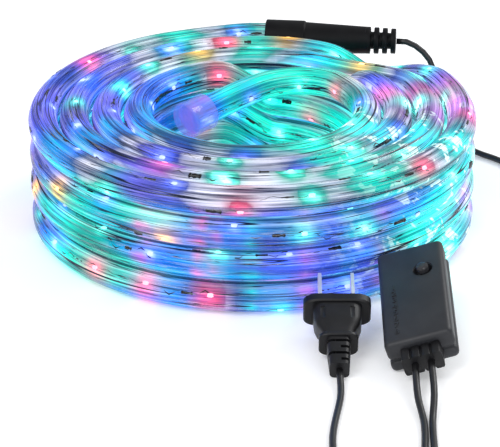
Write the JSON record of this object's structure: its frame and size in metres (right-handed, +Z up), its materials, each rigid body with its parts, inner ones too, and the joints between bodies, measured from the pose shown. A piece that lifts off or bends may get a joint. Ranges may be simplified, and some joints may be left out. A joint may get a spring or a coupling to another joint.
{
  "type": "led rope light",
  "caption": "Clear round rope light wound in a flat open coil, with an end cap, a moulded boot, a thin lead, a push-button controller and a two-blade plug",
  "frame": {"origin": "the middle of the coil's underside, on the floor", "axes": "+Z is up along the coil's axis, -Y is the side that the controller and the plug lie on, +X is to the right seen from there"},
  "size_m": [0.2234, 0.3682, 0.0565],
  "materials": {
    "clear_rope": "clear flexible jacket, lit in many colours",
    "clear_cap": "clear moulded cap",
    "black_boot": "black moulded plastic",
    "black_lead": "black flexible sheath",
    "charcoal_case": "charcoal moulded plastic",
    "black_button": "black push button",
    "black_plug": "black moulded plastic",
    "plated_blade": "plated brass blade"
  },
  "bodies": {
    "light": {"rope_coil": "clear_rope", "end_cap": "clear_cap", "connector_boot": "black_boot", "lead_to_controller": "black_lead", "controller_case": "charcoal_case", "controller_back": "charcoal_case", "cable_gland": "black_boot", "lead_from_controller": "black_lead", "lead_coil": "black_lead", "lead_to_plug": "black_lead", "plug_body": "black_plug", "plug_blade_left": "plated_blade", "plug_blade_right": "plated_blade"},
    "button": {"mode_button": "black_button"}
  },
  "joints": [
    {"name": "button_press", "type": "slide", "parent": "light", "child": "button", "axis": [0.309, 0.1488, -0.9393], "range_m": [0, 0.001], "stiffness_N_per_m": 300, "springref_m": -0.0005}
  ]
}
